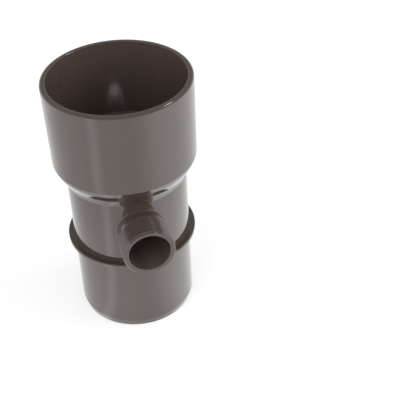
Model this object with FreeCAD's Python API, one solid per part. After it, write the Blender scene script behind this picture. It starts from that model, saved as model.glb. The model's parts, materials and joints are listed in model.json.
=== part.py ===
import FreeCAD, Part
import math
import os

os.makedirs("parts", exist_ok=True)

# Rainwater diverter: a one-piece moulding that joins two lengths of round
# downpipe and feeds part of the water to a hose through an outlet on its front.
# Lengths are in millimetres. The origin is on the pipe's axis, level with the
# collar's underside, which rests on the end of the lower pipe. +Z runs up the
# pipe and the outlet points along -Y.

# Downpipe that the diverter joins, the same above and below
PIPE_OUTER_DIA = 68.0
PIPE_WALL = 2.0

# Socket that slides over the end of the upper pipe
SOCKET_CLEARANCE = 0.3
SOCKET_WALL = 2.95
SOCKET_HEIGHT = 44.4
SOCKET_DRAFT = 0.45
RIM_OUTER_ROUND = 0.9
RIM_INNER_CHAMFER = 0.5
SOCKET_EDGE_ROUND = 1.6

# Ledge that stops the upper pipe
STOP_WIDTH = 1.6
STOP_ABOVE_EDGE = 2.4
STOP_CHAMFER = 0.4

# Shoulder between the socket and the tube below it
SHOULDER_HEIGHT = 9.8
SHOULDER_FOOT_ROUND = 2.4

# Tube below the shoulder, and the spigot that enters the lower pipe
SPIGOT_CLEARANCE = 1.1
TUBE_WALL = 2.6
TUBE_LENGTH = 37.0
SPIGOT_LENGTH = 44.7
LEAD_IN_DEPTH = 1.15
LEAD_IN_HEIGHT = 4.0
LEAD_IN_ROUND = 4.0
END_CHAMFER = 0.4

# Collar that rests on the end of the lower pipe
COLLAR_THICKNESS = 2.4
COLLAR_CHAMFER = 0.4
COLLAR_ROOT_CHAMFER = 0.5

# Outlet for the hose: a plain neck, then a G 3/4 pipe thread up to its mouth
THREAD_MAJOR_DIA = 26.44
THREAD_LEAD = 0.5
OUTLET_BORE_DIA = 20.8
OUTLET_LENGTH = 18.0
NECK_DIA = 24.9
NECK_LENGTH = 4.8
OUTLET_ABOVE_COLLAR = 19.3
OUTLET_ROOT_ROUND = 1.0
OUTLET_MOUTH_CHAMFER = 0.4

# Ring-shaped trough that catches the water running down the wall
TROUGH_WIDTH = 8.3
TROUGH_FLOOR = 2.4
TROUGH_DROP = 0.7
TROUGH_CHAMFER = 1.2
STANDPIPE_WALL = 2.0
STANDPIPE_HEIGHT = 14.0

# Radii that follow from the pipe
pipe_r = PIPE_OUTER_DIA / 2.0
bore_r = pipe_r + SOCKET_CLEARANCE
rim_r = bore_r + SOCKET_WALL
edge_r = rim_r - SOCKET_DRAFT
stop_r = bore_r - STOP_WIDTH
tube_r = pipe_r - PIPE_WALL - SPIGOT_CLEARANCE
tube_bore_r = tube_r - TUBE_WALL
standpipe_r = tube_bore_r - TROUGH_WIDTH
standpipe_bore_r = standpipe_r - STANDPIPE_WALL
thread_r = THREAD_MAJOR_DIA / 2.0
neck_r = NECK_DIA / 2.0
outlet_bore_r = OUTLET_BORE_DIA / 2.0

# Heights, stacked from the collar's underside
end_z = -SPIGOT_LENGTH
collar_top_z = COLLAR_THICKNESS
foot_z = collar_top_z + TUBE_LENGTH
edge_z = foot_z + SHOULDER_HEIGHT
top_z = edge_z + SOCKET_HEIGHT
stop_z = edge_z + STOP_ABOVE_EDGE
outlet_z = collar_top_z + OUTLET_ABOVE_COLLAR
trough_z = outlet_z - outlet_bore_r - TROUGH_DROP
floor_z = trough_z - TROUGH_FLOOR
standpipe_z = trough_z + STANDPIPE_HEIGHT

# Distances along the outlet, from the pipe's axis
outlet_end = tube_r + OUTLET_LENGTH
neck_end = tube_r + NECK_LENGTH
thread_start = neck_end + thread_r - neck_r
bore_start = standpipe_r + TROUGH_WIDTH / 2.0


def sharp(radius, height):
    """A corner of an outline that is left as it is."""
    return FreeCAD.Vector(radius, 0, height), 0, False


def rounded(radius, height, rounding):
    """A corner of an outline that is replaced by an arc."""
    return FreeCAD.Vector(radius, 0, height), rounding, True


def chamfered(radius, height, leg):
    """A corner of an outline that is cut off, by the same length on each side."""
    return FreeCAD.Vector(radius, 0, height), leg, False


def eased_edges(before, corner, after, size, arc):
    """Start and end of one corner's easing, and the edge between them if any."""
    if size == 0:
        return corner, corner, None
    to_before = before.sub(corner).normalize()
    to_after = after.sub(corner).normalize()
    half_angle = to_before.getAngle(to_after) / 2.0
    reach = size / math.tan(half_angle) if arc else size
    start = corner.add(FreeCAD.Vector(to_before).multiply(reach))
    end = corner.add(FreeCAD.Vector(to_after).multiply(reach))
    if not arc:
        return start, end, Part.LineSegment(start, end).toShape()
    bisector = to_before.add(to_after).normalize()
    from_corner = size / math.sin(half_angle) - size
    middle = corner.add(bisector.multiply(from_corner))
    return start, end, Part.Arc(start, middle, end).toShape()


def turned(corners):
    """Solid of revolution about Z from the corners of its outline."""
    count = len(corners)
    eased = []
    for i in range(count):
        corner, size, arc = corners[i]
        before = corners[i - 1][0]
        after = corners[(i + 1) % count][0]
        eased.append(eased_edges(before, corner, after, size, arc))
    edges = []
    for i in range(count):
        start, end, edge = eased[i]
        if edge is not None:
            edges.append(edge)
        next_start = eased[(i + 1) % count][0]
        edges.append(Part.LineSegment(end, next_start).toShape())
    face = Part.Face(Part.Wire(edges))
    return face.revolve(FreeCAD.Vector(0, 0, 0), FreeCAD.Vector(0, 0, 1), 360)


def along_outlet(solid):
    """Lay a solid turned about Z along the outlet's axis, at its height."""
    origin = FreeCAD.Vector(0, 0, 0)
    solid.rotate(origin, FreeCAD.Vector(1, 0, 0), 90)
    solid.translate(FreeCAD.Vector(0, 0, outlet_z))
    return solid


def outer_form():
    """Outside of the spigot, collar, tube, shoulder and socket, left solid."""
    return turned([
        sharp(0, end_z),
        chamfered(tube_r - LEAD_IN_DEPTH, end_z, END_CHAMFER),
        rounded(tube_r, end_z + LEAD_IN_HEIGHT, LEAD_IN_ROUND),
        sharp(tube_r, 0),
        chamfered(pipe_r, 0, COLLAR_CHAMFER),
        chamfered(pipe_r, collar_top_z, COLLAR_CHAMFER),
        chamfered(tube_r, collar_top_z, COLLAR_ROOT_CHAMFER),
        rounded(tube_r, foot_z, SHOULDER_FOOT_ROUND),
        rounded(edge_r, edge_z, SOCKET_EDGE_ROUND),
        rounded(rim_r, top_z, RIM_OUTER_ROUND),
        sharp(0, top_z),
    ])


def water_way():
    """Space inside: socket, trough, standpipe and spigot in one turned form."""
    lip = 0.3 * STANDPIPE_WALL
    taper_z = foot_z + TUBE_WALL / 2.0
    above_z = top_z + SOCKET_WALL
    return turned([
        sharp(0, end_z),
        sharp(tube_bore_r, end_z),
        chamfered(tube_bore_r, floor_z, TROUGH_CHAMFER),
        chamfered(standpipe_bore_r, floor_z, lip),
        chamfered(standpipe_bore_r, standpipe_z, lip),
        chamfered(standpipe_r, standpipe_z, lip),
        chamfered(standpipe_r, trough_z, TROUGH_CHAMFER),
        chamfered(tube_bore_r, trough_z, TROUGH_CHAMFER),
        sharp(tube_bore_r, taper_z),
        chamfered(stop_r, stop_z, STOP_CHAMFER),
        sharp(bore_r, stop_z),
        chamfered(bore_r, top_z, RIM_INNER_CHAMFER),
        sharp(rim_r, top_z),
        sharp(rim_r, above_z),
        sharp(0, above_z),
    ])


def outlet_stub():
    """Outlet with its neck, and the thread at its full diameter up to the lead."""
    return along_outlet(turned([
        sharp(0, 0),
        sharp(neck_r, 0),
        sharp(neck_r, neck_end),
        sharp(thread_r, thread_start),
        chamfered(thread_r, outlet_end, THREAD_LEAD),
        sharp(0, outlet_end),
    ]))


def outlet_bore():
    """Bore from the trough to the outlet's mouth, with the mouth's edge eased."""
    return along_outlet(turned([
        sharp(0, bore_start),
        sharp(outlet_bore_r, bore_start),
        chamfered(outlet_bore_r, outlet_end, OUTLET_MOUTH_CHAMFER),
        sharp(thread_r, outlet_end),
        sharp(thread_r, outlet_end + OUTLET_MOUTH_CHAMFER),
        sharp(0, outlet_end + OUTLET_MOUTH_CHAMFER),
    ]))


def root_edges(shape):
    """The saddle-shaped edge where the outlet leaves the tube."""
    found = []
    for edge in shape.Edges:
        box = edge.BoundBox
        wide = min(box.XLength, box.ZLength) > 1.9 * neck_r
        curved = box.YLength > 0.1
        if wide and curved and box.YMax < 0 and box.YMin > -(tube_r + 0.1):
            found.append(edge)
    return found


def diverter_body():
    """The whole moulding: outside, outlet, then the space for the water."""
    outside = outer_form().fuse(outlet_stub()).removeSplitter()
    outside = outside.makeFillet(OUTLET_ROOT_ROUND, root_edges(outside))
    body = outside.cut(water_way()).cut(outlet_bore())
    return body.Solids[0]


body = diverter_body()
print("solids", len(body.Solids), "valid", body.isValid(), "volume", round(body.Volume, 1))
body.exportStep("parts/diverter_body.step")
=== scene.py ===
import json
import math

import bmesh
import bpy
from mathutils import Matrix, Vector


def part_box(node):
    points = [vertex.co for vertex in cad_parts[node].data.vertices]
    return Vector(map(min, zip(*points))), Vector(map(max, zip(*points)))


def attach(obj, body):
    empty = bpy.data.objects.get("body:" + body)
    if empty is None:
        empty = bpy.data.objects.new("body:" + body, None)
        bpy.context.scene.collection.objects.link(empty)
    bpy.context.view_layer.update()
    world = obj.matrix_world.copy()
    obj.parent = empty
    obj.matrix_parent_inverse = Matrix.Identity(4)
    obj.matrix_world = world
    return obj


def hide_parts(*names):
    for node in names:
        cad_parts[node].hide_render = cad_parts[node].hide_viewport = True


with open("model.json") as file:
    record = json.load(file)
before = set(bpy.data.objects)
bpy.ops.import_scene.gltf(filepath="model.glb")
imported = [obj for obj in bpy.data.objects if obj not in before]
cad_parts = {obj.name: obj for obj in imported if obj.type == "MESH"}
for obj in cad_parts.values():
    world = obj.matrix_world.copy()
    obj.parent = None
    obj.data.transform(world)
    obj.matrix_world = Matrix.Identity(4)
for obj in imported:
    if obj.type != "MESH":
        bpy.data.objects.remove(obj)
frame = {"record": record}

bl_info = {
    "name": "Rainwater Diverter",
    "version": (1, 0, 0),
    "blender": (4, 5, 0),
    "location": "View3D > Sidebar > Diverter",
    "description": "Builds the moulding of a downpipe diverter and a plain stage round it",
    "category": "Add Mesh",
}

MM = 0.001
NODE = "diverter_body"
LOW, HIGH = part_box(NODE)
MOUNTS = {mount["name"]: mount for mount in frame["record"]["mounts"]}

# Columns of faces round the pipe's axis, and the block of them left open
# round the outlet: half its width in columns, and its height in rows
COLUMNS = 180
OPEN_HALF = 14
OPEN_ROWS = 26

# Where that block lies: on the outside, and inside, where it starts this far
# above the trough's floor
OUTER_BLOCK_LOW = 5.6 * MM
OUTER_BLOCK_HIGH = 36.8 * MM
INNER_BLOCK_RISE = 0.55 * MM
INNER_BLOCK_HIGH = 35.6 * MM

# Rows of faces from the block in to the outlet's root and to its bore, and the
# power that sets them closer together towards the hole
ROOT_WALL_ROWS = 7
BORE_WALL_ROWS = 6
CLOSER_TO_HOLE = 0.8

# Arcs of the outline: degrees in a step, the fewest steps, and how far past its ends
# one more point stands, as a share of the radius and at most
ARC_STEP = 9.0
ARC_LEAST = 3
PAST_ARC_SHARE = 0.35
PAST_ARC_MOST = 0.25 * MM

# Roundings outside, from the spigot's end up to the rim
END_BORE_ROUND = 0.3 * MM
END_ROUND = 0.4 * MM
LEAD_IN_ROUND = 4.0 * MM
COLLAR_SEAT_ROUND = 0.15 * MM
COLLAR_LOWER_ROUND = 0.4 * MM
COLLAR_UPPER_ROUND = 0.5 * MM
COLLAR_ROOT_ROUND = 0.1 * MM
FOOT_ROUND = 3.0 * MM
FACET_ROUND = 1.5 * MM
SOCKET_EDGE_ROUND = 1.0 * MM
RIM_ROUND = 1.3 * MM

# Roundings on the water's side, from the socket's mouth down to the spigot
MOUTH_ROUND = 0.5 * MM
LEDGE_ROOT_ROUND = 0.2 * MM
LEDGE_ROUND = 0.4 * MM
TAPER_ROUND = 1.0 * MM
TROUGH_WALL_ROUND = 0.4 * MM
STANDPIPE_ROOT_ROUND = 1.2 * MM
STANDPIPE_ROUND = 0.6 * MM
UNDERSIDE_ROUND = 1.2 * MM

# Facet below the socket's lower edge: how far in and down its other edge lies
FACET_INSET = 0.9 * MM
FACET_DROP = 2.5 * MM

# Pipe thread: radius of its round crests and roots in pitches, half the angle between
# its flanks, and how much the grooves deepen for each length along the neck
CREST_ROUND = 0.1373
HALF_FLANKS = math.radians(27.5)
GROOVE_SLOPE = 0.4

# Rings of the outlet, and where they lie along its neck
ROOT_STEPS = 8
NECK_SHARES = (0.15, 0.55, 1.0)
THREAD_ROWS = 190
BORE_ROWS = 8

# Roundings on both sides of the outlet's end face with the degrees in a step, and how
# far in from them one more ring lies
OUTLET_EDGE_ROUND = 0.15 * MM
OUTLET_EDGE_STEP = 30.0
OUTLET_MOUTH_ROUND = 0.4 * MM
OUTLET_MOUTH_STEP = 15.0
QUARTER_TURN = 90.0
END_FACE_INSET = 0.1 * MM

# The first ring of the bore lies this share of the way in from the mouth
BORE_FIRST_SHARE = 0.01

# Edges that bend more than this stay sharp
SHARP_ANGLE = math.radians(50.0)

# Places of the two finishes in the mesh's list of materials, and their roughness
# where it is least and most
GLOSS = 0
SATIN = 1
GLOSS_ROUGHNESS = (0.05, 0.08)
SATIN_ROUGHNESS = (0.11, 0.15)

# Roughness of the moulding's skin, as a share of the least roughness under it
SKIN_SHARE = 0.8

# Marks on the surface, by their width or the distance from one to the next. The waves
# and the peel use about a fifth of their height.
FLOW_WIDTH = 9.0 * MM
FLOW_LENGTH = 60.0 * MM
SPECK_SPACING = 0.9 * MM
SCUFF_SPACING = 0.8 * MM
SCUFF_REACH = 16.0 * MM
WAVE_SPACING = 12.0 * MM
WAVE_HEIGHT = 0.15 * MM
PEEL_SPACING = 1.6 * MM
PEEL_HEIGHT = 0.004 * MM

# Paper of the floor: its roughness, what it reflects where it is looked at, and the
# glow that lifts it to white for the camera
PAPER_ROUGHNESS = 0.5
PAPER_LOOKED_AT = 0.49
CAMERA_GLOW = 0.6

# Glow that gloss sees on the paper, by the share of a turn from -X through -Y. It is
# brighter on the right than in front, and has one strip on the left.
LEFT_GLOW = 0.25
GLOWS = (
    (0.075, 0.26), (0.11, 0.56), (0.145, 0.26), (0.25, 0.21),
    (0.38, 0.58), (0.58, 0.5), (0.71, 0.2), (0.83, 0.38),
)

# More of that glow near the part: full up to one distance and gone at the next
NEAR_GLOW = 0.25
NEAR_GLOW_FULL = 0.05
NEAR_GLOW_GONE = 0.16

# Room as reflections see it, in front, at its other sides and overhead, and the light
# that it throws on the part from the sides and from straight above
FRONT_LEVEL = 0.3
SIDE_LEVEL = 1.0
CEILING_LEVEL = 0.26
SIDE_LIGHT = 1.38
TOP_LIGHT = 0.4

# Round lamps: name, place, width, power in watts, and whether gloss shows them. Only the
# small one shows, as a glint.
LAMPS = (
    ("key_light", (-0.9, -1.0, 1.2), 1.2, 7.0, False),
    ("fill_light", (1.2, -0.6, 1.0), 1.2, 7.0, False),
    ("small_light", (0.94, 0.1, 1.38), 0.25, 2.2, True),
)
LAMP_TARGET = Vector((0.0, 0.0, 0.03))

# Camera: its place, its level direction, how far it looks down and leans, its lens and
# frame in millimetres, and the nearest and farthest that it shows
CAMERA_PLACE = (-0.05775, -0.38943, 0.3215)
CAMERA_AHEAD = (0.2521, 0.9677, 0.0)
CAMERA_PITCH = math.radians(38.565)
CAMERA_ROLL = math.radians(-2.16)
CAMERA_LENS = 80.28
CAMERA_FRAME = 36.0
CAMERA_NEAREST = 0.01
CAMERA_FARTHEST = 50.0


def mount_radius(name):
    """Radius of a mount of the record, in metres."""
    return MOUNTS[name]["dims"]["r_mm"] * MM


def mount_height(name):
    """Height of a mount of the record, in metres."""
    return MOUNTS[name]["pos_m"][2]


def linear(code):
    """Linear colour of an sRGB hex code such as #6B5F57."""
    channels = []
    for start in (1, 3, 5):
        value = int(code[start:start + 2], 16) / 255.0
        if value <= 0.04045:
            channels.append(value / 12.92)
        else:
            channels.append(((value + 0.055) / 1.055) ** 2.4)
    return tuple(channels)


def length(name, description, default):
    """A length that shows in the sidebar, in metres."""
    return bpy.props.FloatProperty(
        name=name, description=description, default=default, min=0.0, precision=5, unit="LENGTH")


def colour(name, description, code):
    """A colour that shows in the sidebar, from its sRGB hex code."""
    return bpy.props.FloatVectorProperty(
        name=name, description=description, subtype="COLOR", size=3, min=0.0, max=1.0,
        default=linear(code))


class DiverterSizes(bpy.types.PropertyGroup):
    """Sizes of the moulding, taken from the frame where it has them"""

    top: length("Top", "Height of the rim above the collar's underside", HIGH.z)
    below: length("Below collar", "Length of the spigot below the collar's underside", -LOW.z)
    socket_bore: length("Socket bore", "Radius inside the socket", mount_radius("upper_socket"))
    rim: length("Rim", "Radius outside the socket at its rim", HIGH.x)
    socket_draft: length("Socket draft", "How much smaller the socket is at its lower edge", 0.45 * MM)
    socket_edge: length("Socket edge", "Height of the socket's lower edge", 49.8 * MM)
    ledge: length("Ledge", "Height of the ledge that stops the upper pipe", mount_height("pipe_stop"))
    ledge_width: length("Ledge width", "Width of that ledge", 1.6 * MM)
    foot: length("Shoulder foot", "Height at which the shoulder meets the tube", 38.6 * MM)
    tube: length("Tube", "Radius outside the tube and spigot", mount_radius("lower_spigot"))
    tube_wall: length("Tube wall", "Thickness of the tube's wall", 2.6 * MM)
    lead_in: length("Lead-in", "How far the spigot's end tapers in", 1.15 * MM)
    lead_in_height: length("Lead-in height", "Height of that taper", 4.0 * MM)
    collar: length("Collar", "Radius of the collar, the same as the pipe's", 34.0 * MM)
    collar_thickness: length("Collar thickness", "Thickness of the collar", 2.1 * MM)
    trough: length("Trough", "Height of the trough's floor", 10.6 * MM)
    trough_floor: length("Trough floor", "Thickness of the trough's floor", 2.4 * MM)
    standpipe: length("Standpipe", "Radius outside the standpipe", 20.0 * MM)
    standpipe_wall: length("Standpipe wall", "Thickness of the standpipe's wall", 2.0 * MM)
    standpipe_top: length("Standpipe top", "Height of the standpipe's top", 24.6 * MM)
    outlet: length("Outlet height", "Height of the outlet's axis", mount_height("outlet_thread"))
    outlet_end: length("Outlet reach", "Distance of the outlet's end from the pipe's axis", -LOW.y)
    outlet_bore: length("Outlet bore", "Radius of the outlet's bore", mount_radius("outlet_bore"))
    outlet_root: length("Outlet root", "Radius of the rounding where the outlet leaves the tube", 0.5 * MM)
    neck: length("Neck", "Radius of the outlet's plain neck", 12.45 * MM)
    neck_end: length("Neck end", "Distance of the neck's end from the pipe's axis", 35.7 * MM)
    thread: length("Thread", "Major radius of the outlet's thread", mount_radius("outlet_thread"))
    thread_root: length("Thread root", "Minor radius of the outlet's thread", 12.06 * MM)
    thread_pitch: length("Thread pitch", "Distance from one turn of the thread to the next", 1.814 * MM)
    thread_lead: length("Thread lead", "Chamfer at the start of the thread", 0.5 * MM)


class DiverterFinish(bpy.types.PropertyGroup):
    """Colours of the moulding"""

    body: colour("Body", "Brown of the plastic", "#423632")
    body_pale: colour("Pale flow", "Paler brown of the faint flow marks", "#493C35")
    # The inside's two browns are painted lighter than the body's brown. This is painted light, standing in
    # for light that the room doesn't bring into the socket. The flow marks between them are the plastic's
    # own.
    inside: colour("Inside", "Brown of the satin inside", "#564A45")
    inside_flow_and_painted_light: colour("Inside flow", "Brown of the faint flow marks inside", "#4F433D")
    dust: colour("Dust", "Colour of the fine dust on the surface", "#6E655E")


class DiverterStage(bpy.types.PropertyGroup):
    """Colour and width of the floor"""

    floor: colour("Floor", "Colour of the floor", "#EDEDEC")
    floor_size: length("Floor size", "Width of the floor", 6.0)


def rounded_outline(corners):
    """Points of a closed outline with its corners rounded, and where each corner's points start.

    Each rounding has one more point close to both of its ends, so that the
    smooth shading of the rounding doesn't run into the straight walls.
    """
    points = []
    starts = []
    for index, (radius, height, rounding) in enumerate(corners):
        starts.append(len(points))
        corner = Vector((radius, height))
        if rounding == 0.0:
            points.append(corner)
            continue
        before = Vector(corners[index - 1][:2])
        after = Vector(corners[(index + 1) % len(corners)][:2])
        to_before = (before - corner).normalized()
        to_after = (after - corner).normalized()
        half = to_before.angle(to_after) / 2.0
        reach = rounding / math.tan(half)
        centre = corner + (to_before + to_after).normalized() * rounding / math.sin(half)
        first = corner + to_before * reach
        last = corner + to_after * reach
        past = min(PAST_ARC_SHARE * rounding, PAST_ARC_MOST)
        steps = max(ARC_LEAST, round(math.degrees(math.pi - 2.0 * half) / ARC_STEP))
        points.append(first + to_before * past)
        for step in range(steps + 1):
            spoke = (first - centre).slerp(last - centre, step / steps)
            points.append(centre + spoke.normalized() * rounding)
        points.append(last + to_after * past)
    return points, starts


def wall_rows(radius, low, high):
    """Corners of a straight wall, cut into rows for the block round the outlet."""
    return [(radius, low + (high - low) * row / OPEN_ROWS, 0.0) for row in range(OPEN_ROWS + 1)]


def outline_outside(sizes, inside, outer_wall):
    """Corners of the outside with their roundings, from the spigot's end up to the rim."""
    return [
        (inside, -sizes.below, END_BORE_ROUND),
        (sizes.tube - sizes.lead_in, -sizes.below, END_ROUND),
        (sizes.tube, sizes.lead_in_height - sizes.below, LEAD_IN_ROUND),
        (sizes.tube, 0.0, COLLAR_SEAT_ROUND),
        (sizes.collar, 0.0, COLLAR_LOWER_ROUND),
        (sizes.collar, sizes.collar_thickness, COLLAR_UPPER_ROUND),
        (sizes.tube, sizes.collar_thickness, COLLAR_ROOT_ROUND),
        *outer_wall,
        (sizes.tube, sizes.foot, FOOT_ROUND),
        (sizes.rim - sizes.socket_draft - FACET_INSET, sizes.socket_edge - FACET_DROP, FACET_ROUND),
        (sizes.rim - sizes.socket_draft, sizes.socket_edge, SOCKET_EDGE_ROUND),
        (sizes.rim, sizes.top, RIM_ROUND),
    ]


def outline_water_side(sizes, inside, inner_wall):
    """Corners of the water's side with their roundings, from the socket's mouth down."""
    standpipe_bore = sizes.standpipe - sizes.standpipe_wall
    underside = sizes.trough - sizes.trough_floor
    return [
        (sizes.socket_bore, sizes.top, MOUTH_ROUND),
        (sizes.socket_bore, sizes.ledge, LEDGE_ROOT_ROUND),
        (sizes.socket_bore - sizes.ledge_width, sizes.ledge, LEDGE_ROUND),
        (inside, sizes.foot + sizes.tube_wall / 2.0, TAPER_ROUND),
        *inner_wall,
        (inside, sizes.trough, TROUGH_WALL_ROUND),
        (sizes.standpipe, sizes.trough, STANDPIPE_ROOT_ROUND),
        (sizes.standpipe, sizes.standpipe_top, STANDPIPE_ROUND),
        (standpipe_bore, sizes.standpipe_top, STANDPIPE_ROUND),
        (standpipe_bore, underside, STANDPIPE_ROUND),
        (inside, underside, UNDERSIDE_ROUND),
    ]


def round_axis(radius, turn, height):
    """Place at that radius and height, turned from the front towards the right."""
    return (radius * math.sin(turn), -radius * math.cos(turn), height)


def block_border(rows):
    """Vertices round the open block, from its lower right corner anticlockwise."""
    border = []
    for row in range(OPEN_ROWS):
        border.append(rows[row][OPEN_HALF])
    for column in range(OPEN_HALF, -OPEN_HALF, -1):
        border.append(rows[OPEN_ROWS][column])
    for row in range(OPEN_ROWS, 0, -1):
        border.append(rows[row][-OPEN_HALF])
    for column in range(-OPEN_HALF, OPEN_HALF):
        border.append(rows[0][column])
    return border


def join_rings(mesh, ring, next_ring, finish=GLOSS):
    """Faces between two closed rings with the same number of vertices. Returns the second ring."""
    count = len(ring)
    for index in range(count):
        after = (index + 1) % count
        face = mesh.faces.new((ring[index], ring[after], next_ring[after], next_ring[index]))
        face.material_index = finish
    return next_ring


def wall_to_hole(mesh, border, hole, radius, rows, finish=GLOSS):
    """Faces on a round wall from the open block's border in to a hole's edge."""
    previous = border
    for row in range(1, rows):
        share = (row / rows) ** CLOSER_TO_HOLE
        ring = []
        for outer, inner in zip(border, hole):
            outer_turn = math.atan2(outer.co.x, -outer.co.y)
            inner_turn = math.atan2(inner.co.x, -inner.co.y)
            turn = outer_turn + (inner_turn - outer_turn) * share
            height = outer.co.z + (inner.co.z - outer.co.z) * share
            ring.append(mesh.verts.new(round_axis(radius, turn, height)))
        previous = join_rings(mesh, previous, ring, finish)
    join_rings(mesh, previous, hole, finish)


def outlet_ring(mesh, sizes, angles, radius, reach):
    """Ring of vertices round the outlet's axis. Radius and reach may change with the angle."""
    ring = []
    for angle in angles:
        r = radius(angle) if callable(radius) else radius
        y = reach(angle) if callable(reach) else reach
        ring.append(mesh.verts.new((r * math.cos(angle), -y, sizes.outlet + r * math.sin(angle))))
    return ring


def thread_radius(sizes, angle, reach):
    """Radius of the 55 degree pipe thread with its round crests and roots.

    The turns rise out of the neck on a 45 degree cone, the groove between them
    deepens over the first half turn, and they end in the lead.
    """
    pitch = sizes.thread_pitch
    middle = (sizes.thread + sizes.thread_root) / 2.0
    rounding = CREST_ROUND * pitch
    along = (reach - pitch * angle / math.tau) % pitch
    from_crest = min(along, pitch - along)
    from_root = pitch / 2.0 - from_crest
    if from_crest < rounding * math.cos(HALF_FLANKS):
        radius = sizes.thread - rounding + math.sqrt(rounding ** 2 - from_crest ** 2)
    elif from_root < rounding * math.cos(HALF_FLANKS):
        radius = sizes.thread_root + rounding - math.sqrt(rounding ** 2 - from_root ** 2)
    else:
        radius = middle + (pitch / 4.0 - from_crest) / math.tan(HALF_FLANKS)
    past_neck = max(0.0, reach - sizes.neck_end)
    rise = sizes.neck + past_neck
    deepest = max(sizes.thread_root, sizes.neck - GROOVE_SLOPE * past_neck)
    lead = sizes.thread - sizes.thread_lead + max(0.0, sizes.outlet_end - reach)
    return max(deepest, min(radius, rise, lead))


def root_rings(mesh, sizes, angles):
    """Rings of the rounding where the outlet leaves the tube, from the tube to the neck.

    A ball that rolls round the outlet's root touches the tube and the neck.
    """
    root = sizes.outlet_root
    ball_reach = sizes.neck + root
    rings = []
    for step in range(ROOT_STEPS + 1):
        ring = []
        for angle in angles:
            x = ball_reach * math.cos(angle)
            centre = Vector((x, -math.sqrt((sizes.tube + root) ** 2 - x ** 2), 0.0))
            to_tube = Vector((-centre.x, -centre.y, 0.0)).normalized()
            to_neck = Vector((-math.cos(angle), 0.0, -math.sin(angle)))
            centre.z = sizes.outlet + ball_reach * math.sin(angle)
            spoke = to_tube.slerp(to_neck, step / ROOT_STEPS)
            ring.append(mesh.verts.new(centre + spoke * root))
        rings.append(ring)
    return rings


def add_neck(mesh, sizes, start):
    """Plain neck, from the ring where the root's rounding ends."""
    previous = start
    for share in NECK_SHARES:
        ring = []
        for vert in start:
            y = -vert.co.y + (sizes.neck_end + vert.co.y) * share
            ring.append(mesh.verts.new((vert.co.x, -y, vert.co.z)))
        previous = join_rings(mesh, previous, ring)
    return previous


def add_thread(mesh, sizes, angles, previous):
    """Thread from the neck's end to the rounding at the outlet's end."""
    rounding_start = sizes.outlet_end - OUTLET_EDGE_ROUND
    for row in range(1, THREAD_ROWS + 1):
        reach = sizes.neck_end + (rounding_start - sizes.neck_end) * row / THREAD_ROWS
        ring = outlet_ring(
            mesh, sizes, angles, lambda angle: thread_radius(sizes, angle, reach), reach)
        previous = join_rings(mesh, previous, ring)
    return previous


def add_end_face(mesh, sizes, angles, previous):
    """End face of the outlet, with a small rounding on each side of it."""
    end = sizes.outlet_end
    rounding_start = end - OUTLET_EDGE_ROUND
    for step in range(1, round(QUARTER_TURN / OUTLET_EDGE_STEP) + 1):
        turn = math.radians(OUTLET_EDGE_STEP * step)
        inset = OUTLET_EDGE_ROUND * (1.0 - math.cos(turn))
        reach = rounding_start + OUTLET_EDGE_ROUND * math.sin(turn)
        ring = outlet_ring(
            mesh, sizes, angles, lambda angle: thread_radius(sizes, angle, rounding_start) - inset, reach)
        previous = join_rings(mesh, previous, ring)
    outer = sizes.thread_root - OUTLET_EDGE_ROUND - END_FACE_INSET
    inner = sizes.outlet_bore + OUTLET_MOUTH_ROUND + END_FACE_INSET
    for radius in (outer, inner):
        previous = join_rings(mesh, previous, outlet_ring(mesh, sizes, angles, radius, end))
    for step in range(round(QUARTER_TURN / OUTLET_MOUTH_STEP) + 1):
        turn = math.radians(OUTLET_MOUTH_STEP * step)
        radius = sizes.outlet_bore + OUTLET_MOUTH_ROUND * (1.0 - math.sin(turn))
        reach = end - OUTLET_MOUTH_ROUND * (1.0 - math.cos(turn))
        previous = join_rings(mesh, previous, outlet_ring(mesh, sizes, angles, radius, reach))
    return previous


def add_bore(mesh, sizes, angles, inside, previous):
    """Bore from the outlet's mouth back to the inside of the tube, in the satin."""
    bore = sizes.outlet_bore
    start = sizes.outlet_end - OUTLET_MOUTH_ROUND
    for row in range(BORE_ROWS + 1):
        share = BORE_FIRST_SHARE + (1.0 - BORE_FIRST_SHARE) * row / BORE_ROWS
        ring = outlet_ring(
            mesh, sizes, angles, bore,
            lambda angle: start + (math.sqrt(inside ** 2 - (bore * math.cos(angle)) ** 2) - start) * share)
        previous = join_rings(mesh, previous, ring, SATIN)
    return previous


def add_outlet(mesh, sizes, inside, outer_rows, inner_rows):
    """The outlet, from the rounding at its root along the thread and back down its bore."""
    border = block_border(outer_rows)
    angles = [math.atan2(vert.co.z - sizes.outlet, vert.co.x) for vert in border]
    root = root_rings(mesh, sizes, angles)
    wall_to_hole(mesh, border, root[0], sizes.tube, ROOT_WALL_ROWS)
    for ring, next_ring in zip(root, root[1:]):
        join_rings(mesh, ring, next_ring)
    previous = add_neck(mesh, sizes, root[-1])
    previous = add_thread(mesh, sizes, angles, previous)
    previous = add_end_face(mesh, sizes, angles, previous)
    previous = add_bore(mesh, sizes, angles, inside, previous)
    wall_to_hole(mesh, block_border(inner_rows), previous, inside, BORE_WALL_ROWS, SATIN)


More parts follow.
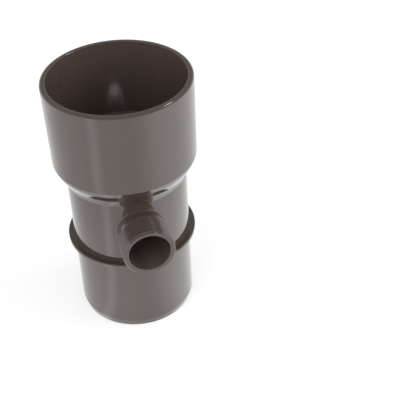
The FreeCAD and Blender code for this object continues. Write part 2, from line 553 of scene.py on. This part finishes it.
def moulding_mesh(sizes):
    """The whole moulding as one closed surface, turned round the pipe's axis."""
    inside = sizes.tube - sizes.tube_wall
    outer_wall = wall_rows(sizes.tube, OUTER_BLOCK_LOW, OUTER_BLOCK_HIGH)
    inner_wall = wall_rows(inside, sizes.trough + INNER_BLOCK_RISE, INNER_BLOCK_HIGH)[::-1]
    outside = outline_outside(sizes, inside, outer_wall)
    corners = outside + outline_water_side(sizes, inside, inner_wall)
    outline, starts = rounded_outline(corners)
    outer_first = starts[corners.index(outer_wall[0])]
    inner_first = starts[corners.index(inner_wall[0])]

    # The satin starts below the rounding of the socket's mouth
    satin_first = starts[len(outside) + 1] - 1

    mesh = bmesh.new()
    rings = []
    for point in outline:
        ring = []
        for column in range(COLUMNS):
            turn = math.tau * column / COLUMNS
            ring.append(mesh.verts.new(round_axis(point.x, turn, point.y)))
        rings.append(ring)
    open_columns = [column % COLUMNS for column in range(-OPEN_HALF, OPEN_HALF)]
    open_rings = [
        *range(outer_first, outer_first + OPEN_ROWS),
        *range(inner_first, inner_first + OPEN_ROWS),
    ]
    for index, ring in enumerate(rings):
        next_ring = rings[(index + 1) % len(rings)]
        for column in range(COLUMNS):
            if index in open_rings and column in open_columns:
                continue
            after = (column + 1) % COLUMNS
            face = mesh.faces.new((ring[column], ring[after], next_ring[after], next_ring[column]))
            face.material_index = SATIN if index >= satin_first else GLOSS
    outer_rows = rings[outer_first:outer_first + OPEN_ROWS + 1]
    inner_rows = rings[inner_first:inner_first + OPEN_ROWS + 1][::-1]
    add_outlet(mesh, sizes, inside, outer_rows, inner_rows)
    loose = [vert for vert in mesh.verts if not vert.link_faces]
    bmesh.ops.delete(mesh, geom=loose, context="VERTS")
    bmesh.ops.recalc_face_normals(mesh, faces=mesh.faces)
    return mesh


def empty_tree(owner):
    """Node tree of a material or world, with nothing in it."""
    owner.use_nodes = True
    owner.node_tree.nodes.clear()
    return owner.node_tree


def add_node(tree, kind, options=None, inputs=None):
    """Adds one node, sets its options and sockets, and links each socket that is given an output."""
    node = tree.nodes.new(kind)
    for name, value in (options or {}).items():
        setattr(node, name, value)
    for name, value in (inputs or {}).items():
        if isinstance(value, bpy.types.NodeSocket):
            tree.links.new(value, node.inputs[name])
        else:
            node.inputs[name].default_value = value
    return node


def grey(level):
    """A colour of equal channels, for a socket or a ramp."""
    return (level, level, level, 1.0)


def looking_rays(tree, path):
    """1 for the rays that the camera, gloss and glass look along, and 0 for those that gather light."""
    looking = path.outputs["Is Camera Ray"]
    for kind in ("Is Glossy Ray", "Is Transmission Ray"):
        either = add_node(
            tree, "ShaderNodeMath", {"operation": "MAXIMUM"}, {0: looking, 1: path.outputs[kind]})
        looking = either.outputs[0]
    return looking


def moulded_pvc(name, brown, flow_brown, dust, roughness_range):
    """Rigid PVC, injection moulded, with the roughness that its side of the mould gives it.

    The polished cavity gives the outside a wet-looking gloss with clear
    reflections of the room. The core that shapes the inside is left as it was
    ground, which gives a satin that blurs them. The wall shrinks a little
    unevenly as it cools, so the reflections waver.
    """
    smoothest, roughest = roughness_range
    material = bpy.data.materials.new(name)
    tree = empty_tree(material)
    place = add_node(tree, "ShaderNodeTexCoord").outputs["Object"]

    # Flow marks run up and down the wall, about 9 mm wide and 60 mm long
    along = add_node(
        tree, "ShaderNodeMapping",
        inputs={"Vector": place, "Scale": (1.0, 1.0, FLOW_WIDTH / FLOW_LENGTH)})
    flow = add_node(
        tree, "ShaderNodeTexNoise",
        inputs={"Vector": along.outputs[0], "Scale": 1.0 / FLOW_WIDTH, "Detail": 3.0, "Roughness": 0.5})
    # For the satin inside, brown and flow_brown come in painted lighter, as painted light for the dim inside
    # of the socket
    tone = add_node(
        tree, "ShaderNodeMix", {"data_type": "RGBA"},
        {"Factor": flow.outputs[0], "A": (*brown, 1.0), "B": (*flow_brown, 1.0)})

    # Dust specks are 0.1 mm and less on the real one, drawn 0.5 mm wide so that they show
    specks = add_node(
        tree, "ShaderNodeTexNoise",
        inputs={"Vector": place, "Scale": 1.0 / SPECK_SPACING, "Detail": 1.0, "Roughness": 0.4})
    dusty = add_node(
        tree, "ShaderNodeMapRange",
        inputs={"Value": specks.outputs[0], "From Min": 0.72, "From Max": 0.82, "To Max": 0.5})
    surface_colour = add_node(
        tree, "ShaderNodeMix", {"data_type": "RGBA"},
        {"Factor": dusty.outputs[0], "A": tone.outputs["Result"], "B": (*dust, 1.0)})

    # Handling scuffs, 0.4 mm wide and 8 mm long, take a little of the gloss away
    across = add_node(
        tree, "ShaderNodeMapping",
        inputs={
            "Vector": place, "Rotation": (0.5, 0.3, 0.9),
            "Scale": (1.0, SCUFF_SPACING / SCUFF_REACH, 1.0)})
    scuffs = add_node(
        tree, "ShaderNodeTexNoise",
        inputs={"Vector": across.outputs[0], "Scale": 1.0 / SCUFF_SPACING, "Detail": 2.0, "Roughness": 0.6})
    scuffed = add_node(
        tree, "ShaderNodeMapRange",
        inputs={"Value": scuffs.outputs[0], "From Min": 0.6, "From Max": 0.8, "To Max": 0.08})
    gloss = add_node(
        tree, "ShaderNodeMapRange",
        inputs={
            "Value": flow.outputs[0], "From Min": 0.3, "From Max": 0.7,
            "To Min": smoothest, "To Max": roughest})
    roughness = add_node(
        tree, "ShaderNodeMath", {"operation": "ADD"}, {0: gloss.outputs[0], 1: scuffed.outputs[0]})

    # Shrinkage waves run up and down too, about 12 mm apart and 0.03 mm deep, then comes
    # the fine orange peel of the mould
    waves = add_node(
        tree, "ShaderNodeTexNoise",
        inputs={"Vector": along.outputs[0], "Scale": 1.0 / WAVE_SPACING, "Detail": 1.0, "Roughness": 0.4})
    wavy = add_node(
        tree, "ShaderNodeBump",
        inputs={"Height": waves.outputs[0], "Strength": 1.0, "Distance": WAVE_HEIGHT})
    peel = add_node(
        tree, "ShaderNodeTexNoise",
        inputs={"Vector": place, "Scale": 1.0 / PEEL_SPACING, "Detail": 2.0, "Roughness": 0.5})
    peeled = add_node(
        tree, "ShaderNodeBump",
        inputs={
            "Height": peel.outputs[0], "Strength": 1.0, "Distance": PEEL_HEIGHT,
            "Normal": wavy.outputs[0]})

    shader = add_node(
        tree, "ShaderNodeBsdfPrincipled",
        inputs={
            "Base Color": surface_colour.outputs["Result"], "Roughness": roughness.outputs[0],
            "IOR": 1.54, "Specular IOR Level": 0.95, "Normal": peeled.outputs[0],
            "Coat Weight": 0.5, "Coat Roughness": SKIN_SHARE * smoothest, "Coat IOR": 1.5,
            "Coat Normal": peeled.outputs[0]})
    add_node(tree, "ShaderNodeOutputMaterial", inputs={"Surface": shader.outputs[0]})
    return material


def studio_floor(stage):
    """Matt white paper sweep, which gives the eye a shadowless white with a soft contact shade.

    The camera and reflections see it lifted towards white, and it keeps the shadow.
    """
    material = bpy.data.materials.new("matt_paper_sweep")
    tree = empty_tree(material)
    path = add_node(tree, "ShaderNodeLightPath")
    paper = add_node(
        tree, "ShaderNodeBsdfDiffuse", inputs={"Color": (*stage.floor, 1.0), "Roughness": PAPER_ROUGHNESS})
    looked_at = add_node(
        tree, "ShaderNodeBsdfDiffuse", inputs={"Color": grey(PAPER_LOOKED_AT), "Roughness": PAPER_ROUGHNESS})

    # Gloss shows how the room lights the paper, round the part and close to it
    place = add_node(tree, "ShaderNodeTexCoord").outputs["Object"]
    angle = add_node(
        tree, "ShaderNodeTexGradient", {"gradient_type": "RADIAL"}, {"Vector": place})
    room = add_node(tree, "ShaderNodeValToRGB", inputs={"Fac": angle.outputs["Fac"]})
    room.color_ramp.interpolation = "EASE"
    for position, level in GLOWS:
        room.color_ramp.elements.new(position).color = grey(level)
    for end in (room.color_ramp.elements[0], room.color_ramp.elements[-1]):
        end.color = grey(LEFT_GLOW)
    distance = add_node(tree, "ShaderNodeVectorMath", {"operation": "LENGTH"}, {0: place})
    near = add_node(
        tree, "ShaderNodeMapRange", {"interpolation_type": "SMOOTHSTEP"},
        {
            "Value": distance.outputs["Value"], "From Min": NEAR_GLOW_FULL, "From Max": NEAR_GLOW_GONE,
            "To Min": NEAR_GLOW, "To Max": 0.0})
    lit = add_node(
        tree, "ShaderNodeMath", {"operation": "ADD"}, {0: room.outputs["Color"], 1: near.outputs[0]})
    strength = add_node(
        tree, "ShaderNodeMix", {"data_type": "FLOAT"},
        {"Factor": path.outputs["Is Glossy Ray"], "A": CAMERA_GLOW, "B": lit.outputs[0]})
    lift = add_node(
        tree, "ShaderNodeEmission", inputs={"Color": grey(1.0), "Strength": strength.outputs["Result"]})
    lifted = add_node(
        tree, "ShaderNodeAddShader", inputs={0: looked_at.outputs[0], 1: lift.outputs[0]})
    mixed = add_node(
        tree, "ShaderNodeMixShader",
        inputs={0: looking_rays(tree, path), 1: paper.outputs[0], 2: lifted.outputs[0]})
    add_node(tree, "ShaderNodeOutputMaterial", inputs={"Surface": mixed.outputs[0]})
    return material


def white_room():
    """World of a plain white room.

    The camera sees it white. Reflections see it white below the horizon and dim
    from 30 degrees up. In front, where the camera stands, it is dim at every height.
    """
    world = bpy.data.worlds.new("white_room")
    tree = empty_tree(world)
    path = add_node(tree, "ShaderNodeLightPath")
    direction = add_node(tree, "ShaderNodeTexCoord").outputs["Generated"]
    parts = add_node(tree, "ShaderNodeSeparateXYZ", inputs={"Vector": direction})
    horizon = add_node(
        tree, "ShaderNodeMapRange", {"interpolation_type": "SMOOTHSTEP"},
        {
            "Value": parts.outputs["Y"], "From Min": -0.9, "From Max": -0.4,
            "To Min": FRONT_LEVEL, "To Max": SIDE_LEVEL})
    ceiling = add_node(
        tree, "ShaderNodeMapRange", {"interpolation_type": "SMOOTHSTEP"},
        {
            "Value": parts.outputs["Z"], "From Min": -0.1, "From Max": 0.5,
            "To Min": horizon.outputs[0], "To Max": CEILING_LEVEL})
    strength = add_node(
        tree, "ShaderNodeMath", {"operation": "MAXIMUM"},
        {0: ceiling.outputs[0], 1: path.outputs["Is Camera Ray"]})
    looked_at = add_node(
        tree, "ShaderNodeBackground", inputs={"Color": grey(1.0), "Strength": strength.outputs[0]})

    # It lights the part more from the sides than from straight above
    sides = add_node(
        tree, "ShaderNodeMapRange", {"interpolation_type": "SMOOTHSTEP"},
        {
            "Value": parts.outputs["Z"], "From Min": 0.2, "From Max": 1.0,
            "To Min": SIDE_LIGHT, "To Max": TOP_LIGHT})
    lighting = add_node(
        tree, "ShaderNodeBackground", inputs={"Color": grey(1.0), "Strength": sides.outputs[0]})
    mixed = add_node(
        tree, "ShaderNodeMixShader",
        inputs={0: looking_rays(tree, path), 1: lighting.outputs[0], 2: looked_at.outputs[0]})
    add_node(tree, "ShaderNodeOutputWorld", inputs={"Surface": mixed.outputs[0]})
    return world


class DIVERTER_OT_moulding(bpy.types.Operator):
    """Build the one-piece moulding over the diverter's solid"""

    bl_idname = "diverter.add_moulding"
    bl_label = "Moulding"
    bl_options = {"REGISTER", "UNDO"}

    def execute(self, context):
        scene = context.scene
        finish = scene.diverter_finish
        built = moulding_mesh(scene.diverter_sizes)
        data = bpy.data.meshes.new("diverter_moulding")
        built.to_mesh(data)
        built.free()
        data.shade_smooth()
        data.set_sharp_from_angle(angle=SHARP_ANGLE)
        data.materials.append(moulded_pvc(
            "gloss_moulded_pvc", finish.body, finish.body_pale, finish.dust, GLOSS_ROUGHNESS))
        # The satin inside takes the browns that are painted lighter, as painted light for the dim inside of
        # the socket
        data.materials.append(moulded_pvc(
            "satin_moulded_pvc", finish.inside, finish.inside_flow_and_painted_light, finish.dust, SATIN_ROUGHNESS))
        piece = bpy.data.objects.new("diverter_moulding", data)
        scene.collection.objects.link(piece)
        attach(piece, "root")
        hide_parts(NODE)
        return {"FINISHED"}


class DIVERTER_OT_stage(bpy.types.Operator):
    """Set the floor, the soft lights and the camera"""

    bl_idname = "diverter.set_stage"
    bl_label = "Stage"
    bl_options = {"REGISTER", "UNDO"}

    def execute(self, context):
        scene = context.scene
        self.add_floor(scene, scene.diverter_stage)
        scene.world = white_room()
        self.add_lamps(scene)
        self.add_camera(scene)
        scene.view_settings.view_transform = "Standard"
        return {"FINISHED"}

    def add_floor(self, scene, stage):
        """Square of paper under the spigot's end."""
        mesh = bmesh.new()
        bmesh.ops.create_grid(mesh, x_segments=1, y_segments=1, size=stage.floor_size / 2.0)
        data = bpy.data.meshes.new("floor")
        mesh.to_mesh(data)
        mesh.free()
        data.materials.append(studio_floor(stage))
        floor = bpy.data.objects.new("floor", data)
        floor.location.z = LOW.z
        scene.collection.objects.link(floor)

    def add_lamps(self, scene):
        """Lamps that all point at the part."""
        for name, place, width, power, in_gloss in LAMPS:
            light = bpy.data.lights.new(name, "AREA")
            light.shape = "DISK"
            light.size = width
            light.energy = power
            lamp = bpy.data.objects.new(name, light)
            lamp.location = place
            lamp.rotation_mode = "QUATERNION"
            lamp.rotation_quaternion = (LAMP_TARGET - Vector(place)).to_track_quat("-Z", "Y")
            lamp.visible_glossy = in_gloss
            scene.collection.objects.link(lamp)

    def add_camera(self, scene):
        """Camera in front of the part and a little to its left, looking down at it."""
        data = bpy.data.cameras.new("camera")
        data.sensor_width = CAMERA_FRAME
        data.lens = CAMERA_LENS
        data.clip_start = CAMERA_NEAREST
        data.clip_end = CAMERA_FARTHEST
        ahead = Vector(CAMERA_AHEAD).normalized()
        right = Vector((ahead.y, -ahead.x, 0.0))
        forward = ahead * math.cos(CAMERA_PITCH) - Vector((0.0, 0.0, math.sin(CAMERA_PITCH)))
        up = right.cross(forward)
        across = right * math.cos(CAMERA_ROLL) + up * math.sin(CAMERA_ROLL)
        upward = up * math.cos(CAMERA_ROLL) - right * math.sin(CAMERA_ROLL)
        turn = Matrix((across, upward, -forward)).transposed()
        camera = bpy.data.objects.new("camera", data)
        camera.matrix_world = Matrix.Translation(CAMERA_PLACE) @ turn.to_4x4()
        scene.collection.objects.link(camera)
        scene.camera = camera


class DIVERTER_PT_sidebar(bpy.types.Panel):
    """Lists the pieces and the sizes they are built from"""

    bl_idname = "DIVERTER_PT_sidebar"
    bl_label = "Rainwater Diverter"
    bl_space_type = "VIEW_3D"
    bl_region_type = "UI"
    bl_category = "Diverter"

    def draw(self, context):
        layout = self.layout
        scene = context.scene
        layout.operator(DIVERTER_OT_moulding.bl_idname)
        layout.operator(DIVERTER_OT_stage.bl_idname)
        for title, group in (
            ("Sizes", scene.diverter_sizes),
            ("Finish", scene.diverter_finish),
            ("Stage", scene.diverter_stage),
        ):
            box = layout.box()
            box.label(text=title)
            for name in group.__annotations__:
                box.prop(group, name)


CLASSES = (
    DiverterSizes,
    DiverterFinish,
    DiverterStage,
    DIVERTER_OT_moulding,
    DIVERTER_OT_stage,
    DIVERTER_PT_sidebar,
)


def register():
    for cls in CLASSES:
        bpy.utils.register_class(cls)
    bpy.types.Scene.diverter_sizes = bpy.props.PointerProperty(type=DiverterSizes)
    bpy.types.Scene.diverter_finish = bpy.props.PointerProperty(type=DiverterFinish)
    bpy.types.Scene.diverter_stage = bpy.props.PointerProperty(type=DiverterStage)


def unregister():
    del bpy.types.Scene.diverter_stage
    del bpy.types.Scene.diverter_finish
    del bpy.types.Scene.diverter_sizes
    for cls in reversed(CLASSES):
        bpy.utils.unregister_class(cls)


def main():
    """Build everything."""
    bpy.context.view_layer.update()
    register()
    bpy.ops.diverter.add_moulding()
    bpy.ops.diverter.set_stage()


if __name__ == "__main__":
    main()
